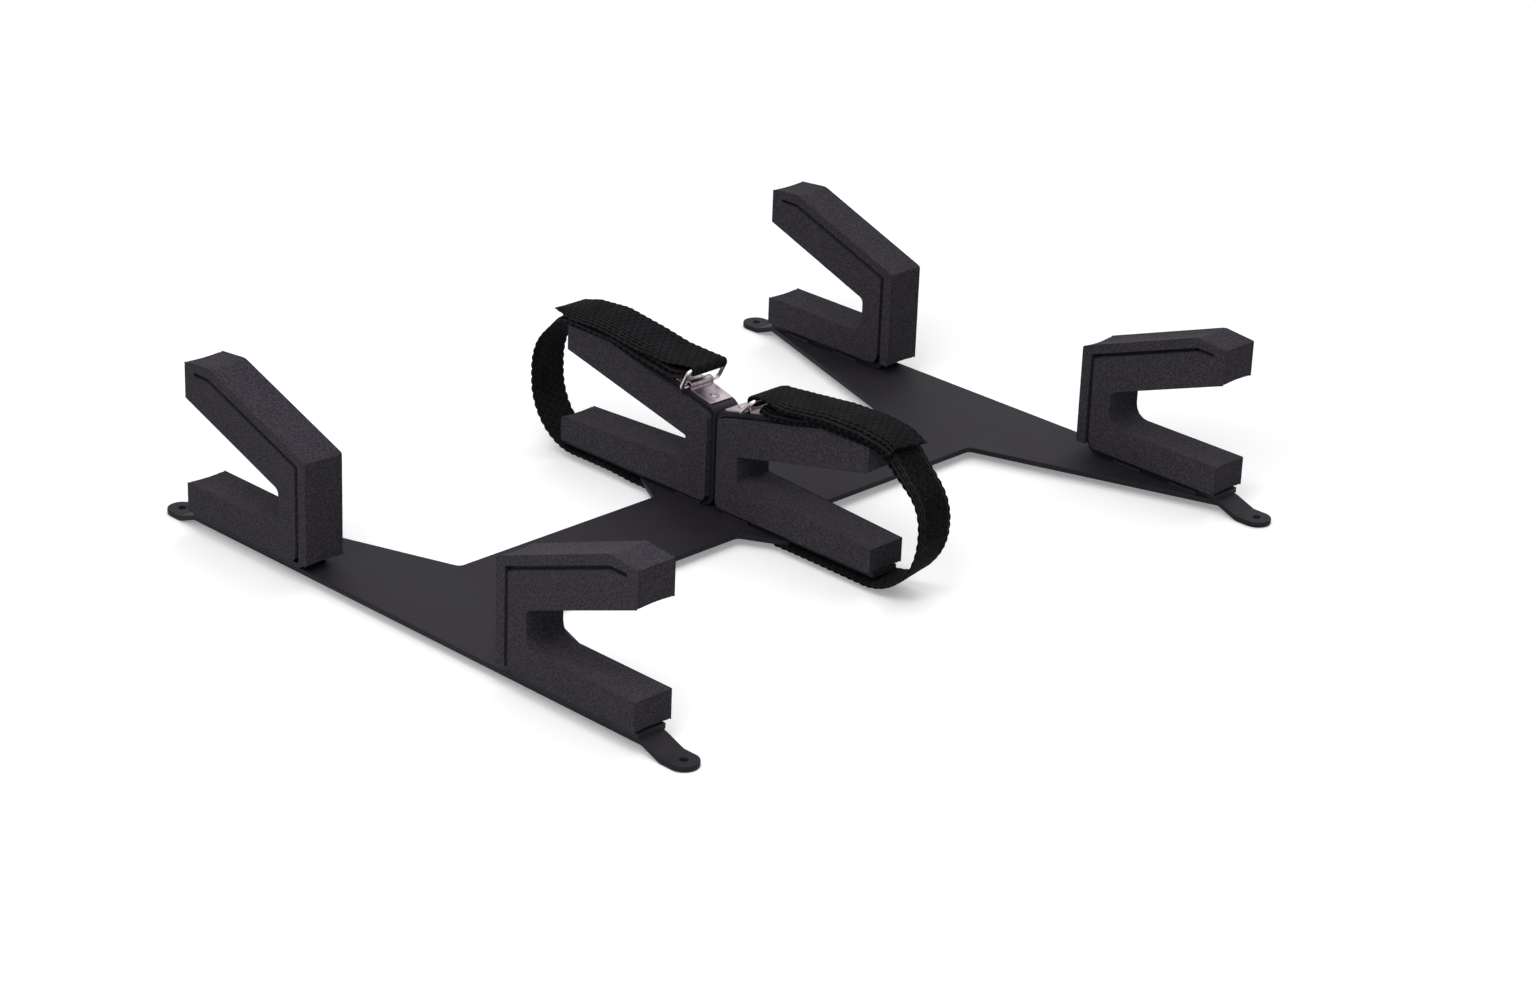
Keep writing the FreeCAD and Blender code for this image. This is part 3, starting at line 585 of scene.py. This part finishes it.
def along_route(route, step):
    """Points along a route with arcs at its corners, with the direction at each, the
    whole length, and how far along each corner is."""
    corners = [Vector(corner[:2]) for corner in route]
    runs = []
    marks = [0.0]
    travelled = 0.0
    start = corners[0]
    for index in range(1, len(corners) - 1):
        corner = corners[index]
        radius = route[index][2]
        inward = (corner - corners[index - 1]).normalized()
        outward = (corners[index + 1] - corner).normalized()
        turn = math.atan2(inward.x * outward.y - inward.y * outward.x, inward.dot(outward))
        reach = radius * math.tan(abs(turn) / 2)
        first = corner - inward * reach
        straight = (first - start).length
        arc = radius * abs(turn)
        runs.append((travelled, straight, start, inward, 0.0))
        runs.append((travelled + straight, arc, first, inward, math.copysign(1.0 / radius, turn)))
        marks.append(travelled + straight + arc / 2)
        travelled += straight + arc
        start = corner + outward * reach
    last = corners[-1] - start
    runs.append((travelled, last.length, start, last.normalized(), 0.0))
    total = travelled + last.length
    marks.append(total)
    count = max(2, round(total / step))
    made = []
    for number in range(count + 1):
        distance = total * number / count
        begin, _, point, heading, bend = [run for run in runs if run[0] <= distance][-1]
        left = distance - begin
        if bend == 0.0:
            made.append((distance, point + heading * left, heading))
            continue
        side = Vector((-heading.y, heading.x))
        centre = point + side / bend
        spoke = point - centre
        spoke.rotate(Matrix.Rotation(left * bend, 2))
        way = heading.copy()
        way.rotate(Matrix.Rotation(left * bend, 2))
        made.append((distance, centre + spoke, way))
    return made, total, marks


def smooth_step(value, low, high):
    """From 0 to 1 between two values, with a soft start and end."""
    share = min(1.0, max(0.0, (value - low) / (high - low)))
    return share * share * (3 - 2 * share)


def blend_along(marks, values, distance):
    """A value given at each mark, passed smoothly from one to the next."""
    for index in range(1, len(marks)):
        if distance <= marks[index]:
            break
    share = smooth_step(distance, marks[index - 1], marks[index])
    return [a + (b - a) * share for a, b in zip(values[index - 1], values[index])]


def weave_height(across, along):
    """Slight ridges across the cloth, two to a row, stronger in blocks that take turns."""
    turn = 0.75 + 0.25 * math.sin(math.pi * across / BLOCK_WIDE + math.pi * along / ROW_PITCH)
    return 0.5 + 0.5 * turn * math.cos(4 * math.pi * along / ROW_PITCH)


def band_surface(across, along, on_pile):
    """Height from 0 to 1 or so at a spot of the band, and whether it is pile. The pile
    has a raised cord along each side."""
    plain = 0.7 + 0.3 * weave_height(across, along)
    if not on_pile:
        return plain, 0.0
    inside = PILE_HALF - abs(across + PILE_MIDDLE)
    if -BORDER < inside < 0.0:
        return 1.05, 0.0
    inside = min(inside, along - PILE_START)
    if inside < 0.0:
        return plain, 0.0
    spot = Vector((across * 0.5, along * 0.9, 3.0))
    fluff = 0.5 + noise.noise(spot) * 0.7 + 0.5 * noise.noise(spot * 2.7)
    return 0.75 + smooth_step(inside, 0.0, 1.2) * 0.55 * fluff, 1.0


def band_points(end, route, start_along, piled, hang_from, slant, swell):
    """Points of the band's two faces, what its material reads at each, the number of rows
    and the length. The face to the left of the route comes first."""
    near = -1 if end == "back" else 1
    line, total, marks = along_route(route, ROW_PITCH / ROW_STEPS)
    lies = [corner[3:] for corner in route]
    half = WEB_COLUMNS // 2
    places = [(index - half) / half for index in range(WEB_COLUMNS + 1)]
    points = []
    values = {"along": [], "across": [], "pile": [], "outer": []}
    for side in (1, -1):
        outer = piled and side == -1
        for distance, point, way in line:
            along = start_along + distance
            left = Vector((-way.y, way.x))
            move, roll, hang = blend_along(marks, lies, distance)
            lobe = abs(math.sin(math.pi * along / ROW_PITCH)) ** 0.8
            fuller = swell * (1 - smooth_step(distance, *NOSE))
            reach = WEB_HALF + 0.4 - SCALLOP * (1 - lobe) + 0.2 * fuller
            last = smooth_step(distance, total - SLANT_OVER, total)
            for place in places:
                across = place * WEB_HALF
                slack = near * place
                drop = roll * slack + hang * max(0.0, (slack - hang_from) / (1 - hang_from)) ** 1.6
                rim = math.sqrt(max(0.0, 1 - abs(place) ** 14))
                height, looped = band_surface(across, along, outer)
                if side == 1:
                    height += fuller * (1 - 0.65 * max(0.0, left.y))
                height *= WEB_THICK / 2 * (0.35 + 0.65 * rim)
                spot = point + left * side * height - way * (slant * last * (0.5 + 0.5 * slack))
                if distance == total:
                    spot += way * noise.noise(Vector((across * 1.3, along, side))) * FRAY
                points.append((place * reach + near * move, spot.x, spot.y - drop))
                values["along"].append(along * MM)
                values["across"].append(across * MM)
                values["pile"].append(looped)
                values["outer"].append(float(outer))
    return points, values, len(line), total


def band_faces(rows):
    """Faces of a band: both sides, the two long edges and the two ends."""
    width = WEB_COLUMNS + 1
    under = rows * width
    faces = []
    for base, step in ((0, 1), (under, -1)):
        for row in range(rows - 1):
            for column in range(WEB_COLUMNS):
                a = base + row * width + column
                faces.append((a, a + 1, a + width + 1, a + width)[::step])
    for row in range(rows - 1):
        for column, step in ((0, 1), (WEB_COLUMNS, -1)):
            a = row * width + column
            faces.append((a, a + width, under + a + width, under + a)[::step])
    for row, step in ((0, -1), (rows - 1, 1)):
        for column in range(WEB_COLUMNS):
            a = row * width + column
            faces.append((a, a + 1, under + a + 1, under + a)[::step])
    return faces


def webbing_strip(name, route, end, material, start_along=0.0, piled=False, hang_from=0.7,
                  slant=0.0, swell=0.0):
    """A woven band along a route: loop pile on its outer face where asked, scalloped
    edges, a slightly frayed last row, and a fuller fold at its start."""
    points, values, rows, total = band_points(end, route, start_along, piled, hang_from, slant, swell)
    item = new_piece(name, turned(points, end), band_faces(rows), material)
    for key, numbers in values.items():
        attribute = item.data.attributes.new(key, "FLOAT", "POINT")
        attribute.data.foreach_set("value", numbers)
    return item, total


def ring_foot():
    """Middle of the ring's lower bar, which lies over the top face of the sloped arm."""
    slope = MIDDLE_BAR["slope"]
    rise = MIDDLE_BAR["knee"] - slope * MIDDLE_BAR["wall"]
    top = rise + BAR_THICK / 2 * math.sqrt(1 + slope ** 2)
    along = Vector((1.0, slope)).normalized()
    return Vector((RING_PLACE, top + slope * RING_PLACE)) + Vector((-along.y, along.x)) * RING_LIFT


def ring_rise(end):
    """The way from the ring's lower bar to its upper one."""
    lean = math.radians(RING_LEAN[end])
    return Vector((math.sin(lean), math.cos(lean)))


def ring_top(end):
    """Middle of the ring's upper bar, which holds the strap's fold."""
    return ring_foot() + ring_rise(end) * RING_HEIGHT


def strap_run(end, material):
    """The long part of the strap, which turns with the ring at its upper end."""
    top = ring_top(end)
    finish = (top.x + RUN_END[0], top.y - RUN_END[1], 0.0, 0.4, 1.5, 3.6)
    route = RUN_ROUTE[end] + [finish]
    item, length = webbing_strip(f"webbing_run_{end}", route, end, material, piled=True)
    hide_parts(f"strap_{end}")
    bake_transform(item)


def strap_end(end, material):
    """The folded end, from under the ring's bar, over it and back to the loose tip."""
    top = ring_top(end)
    reach = RING_WIRE + WEB_GAP + WEB_THICK / 2
    across = top.x + FOLD_SHIFT[end][0] - reach
    middle = top.y + FOLD_SHIFT[end][1]
    bend = reach - 0.05
    held = (0.1, 0.0, 0.0)
    route = [(top.x, top.y - reach - 0.2, 0.0, *held), (across, middle - reach, bend, *held),
             (across, middle + reach, bend, *held)]
    route += END_ROUTE[end]
    item, length = webbing_strip(f"webbing_end_{end}", route, end, material, END_START,
                                 hang_from=END_HANG_FROM[end], slant=END_SLANT[end], swell=1.0)
    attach(item, f"strap_end_{end}")
    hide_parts(f"strap_end_{end}")


def wire_ring(end, material):
    """A closed wire: round bars with rounded corners."""
    sides = 20
    foot = ring_foot()
    rise = ring_rise(end)
    corners = [(-RING_HALF, 0.0, RING_CORNER), (RING_HALF, 0.0, RING_CORNER),
               (RING_HALF, RING_HEIGHT, RING_CORNER), (-RING_HALF, RING_HEIGHT, RING_CORNER)]
    line = rounded(corners, 8)
    count = len(line)
    points = []
    for index, place in enumerate(line):
        way = (line[(index + 1) % count] - line[index - 1]).normalized()
        out = Vector((way.y, -way.x))
        for step in range(sides):
            angle = 2 * math.pi * step / sides
            flat = place + out * math.cos(angle) * RING_WIRE
            depth = math.sin(angle) * RING_WIRE
            spot = foot + rise * flat.y + Vector((rise.y, -rise.x)) * depth
            points.append((flat.x, spot.x, spot.y))
    faces = []
    for index in range(count):
        a = index * sides
        b = ((index + 1) % count) * sides
        for step in range(sides):
            after = (step + 1) % sides
            faces.append((a + step, a + after, b + after, b + step))
    item = new_piece(f"ring_wire_{end}", turned(points, end), faces, material)
    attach(item, f"ring_{end}")
    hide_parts(f"ring_{end}")


def dress_rack(materials):
    for end in SIDES:
        for hand, offset in (("left", -HOLE_X), ("right", HOLE_X)):
            if end == "front":
                offset = -offset
            outer_foam(hand, end, offset, materials["foam"])
        middle_foam(end, materials["foam"])
        wire_ring(end, materials["ring_nickel"])
        strap_run(end, materials["webbing"])
        strap_end(end, materials["webbing"])
        for hand in ("left", "right", "middle"):
            finish_node(f"bar_{hand}_{end}", materials["bar_paint"], 0.6)
        finish_node(f"saddle_{end}", materials["saddle_steel"], 0.25)
    finish_node("base_plate", materials["plate_paint"], 0.6)
    finish_node("weld_beads", materials["plate_paint"], 0.4)
    finish_node("strap_rivets", materials["rivet_steel"], 0.0)
    finish_node("saddle_rivets", materials["rivet_steel"], 0.3)


def plain_shader(tree, kind, grey, strength=None):
    """A shader of one grey, with a strength where it has one."""
    made = tree.nodes.new(kind)
    made.inputs["Color"].default_value = (grey, grey, grey, 1.0)
    if strength is not None:
        made.inputs["Strength"].default_value = strength
    return made.outputs[0]


def white_for_the_eye(tree, lit, shown):
    """Mix two shaders: one that lights the rack, one that the eye and mirrors see."""
    path = tree.nodes.new("ShaderNodeLightPath")
    seen = path.outputs["Is Camera Ray"]
    for ray in ("Is Glossy Ray", "Is Transmission Ray"):
        either = tree.nodes.new("ShaderNodeMath")
        either.operation = "MAXIMUM"
        tree.links.new(seen, either.inputs[0])
        tree.links.new(path.outputs[ray], either.inputs[1])
        seen = either.outputs["Value"]
    mix = tree.nodes.new("ShaderNodeMixShader")
    for socket, output in zip(mix.inputs, (seen, lit, shown)):
        tree.links.new(output, socket)
    return mix.outputs[0]


def white_surroundings():
    """Surroundings that look white and light the rack only a little."""
    world = bpy.data.worlds.new("surroundings")
    bpy.context.scene.world = world
    world.use_nodes = True
    tree = world.node_tree
    tree.nodes.clear()
    soft = plain_shader(tree, "ShaderNodeBackground", 1.0, 0.095)
    white = plain_shader(tree, "ShaderNodeBackground", 1.0, 1.0)
    out = tree.nodes.new("ShaderNodeOutputWorld")
    tree.links.new(white_for_the_eye(tree, soft, white), out.inputs["Surface"])


def white_floor():
    """A wide floor that looks nearly white and still takes the rack's soft shadow."""
    bpy.ops.mesh.primitive_circle_add(vertices=96, radius=9.0, fill_type="NGON",
                                      location=(0, 0, -0.0005))
    floor = bpy.context.object
    floor.name = "floor"
    material = bpy.data.materials.new("floor_white")
    material.use_nodes = True
    tree = material.node_tree
    tree.nodes.clear()
    lit = plain_shader(tree, "ShaderNodeBsdfDiffuse", 0.62)
    shade = plain_shader(tree, "ShaderNodeBsdfDiffuse", 0.88)
    glow = plain_shader(tree, "ShaderNodeEmission", 1.0, 0.265)
    both = tree.nodes.new("ShaderNodeAddShader")
    tree.links.new(shade, both.inputs[0])
    tree.links.new(glow, both.inputs[1])
    out = tree.nodes.new("ShaderNodeOutputMaterial")
    tree.links.new(white_for_the_eye(tree, lit, both.outputs[0]), out.inputs["Surface"])
    floor.data.materials.append(material)


def place_lamp(name, lamp, towards, place=(0.0, 0.0, 0.0)):
    """Put a lamp at a place, with its back towards a direction."""
    item = bpy.data.objects.new(name, lamp)
    item.location = place
    item.rotation_mode = "QUATERNION"
    item.rotation_quaternion = Vector(towards).to_track_quat("Z", "Y")
    bpy.context.scene.collection.objects.link(item)


def add_sun(name, strength, azimuth, from_overhead, spread):
    """A soft distant light. Its angles are in degrees."""
    lamp = bpy.data.lights.new(name, "SUN")
    lamp.energy = strength
    lamp.angle = math.radians(spread)
    turn = math.radians(azimuth)
    height = math.radians(90 - from_overhead)
    place_lamp(name, lamp, (math.cos(turn) * math.cos(height),
                            math.sin(turn) * math.cos(height), math.sin(height)))


def add_panel(name, power, size, place, aim):
    """A square soft light at a place, aimed at a spot of the rack."""
    lamp = bpy.data.lights.new(name, "AREA")
    lamp.energy = power
    lamp.size = size
    place_lamp(name, lamp, Vector(place) - Vector(aim), place)


def studio():
    """White floor and surroundings, soft distant lights and a near one on the left."""
    white_surroundings()
    white_floor()
    for name, values in SUNS.items():
        add_sun(name, *values)
    add_panel("near_left", *PANEL)


def photo_camera():
    """The camera of the photograph, from its angles, distance and aim."""
    azimuth = math.radians(CAMERA_AZIMUTH)
    height = math.radians(CAMERA_ELEVATION)
    roll = math.radians(CAMERA_ROLL)
    back = Vector((math.sin(azimuth) * math.cos(height), -math.cos(azimuth) * math.cos(height),
                   math.sin(height)))
    level = (-back).cross(Vector((0, 0, 1))).normalized()
    upright = level.cross(-back)
    right = level * math.cos(roll) + upright * math.sin(roll)
    up = upright * math.cos(roll) - level * math.sin(roll)
    data = bpy.data.cameras.new("photo_camera")
    data.sensor_width = SENSOR
    data.lens = FOCAL_PIXELS / IMAGE_WIDTH * SENSOR
    data.clip_start = 0.05
    data.clip_end = 60.0
    item = bpy.data.objects.new("photo_camera", data)
    turn = Matrix((right, up, back)).transposed()
    item.matrix_world = Matrix.Translation(
        back * CAMERA_DISTANCE + right * CAMERA_AIM[0] + up * CAMERA_AIM[1]) @ turn.to_4x4()
    bpy.context.scene.collection.objects.link(item)
    bpy.context.scene.camera = item


photo_camera()
studio()
dress_rack(rack_materials())
bpy.context.scene.view_settings.view_transform = "Standard"
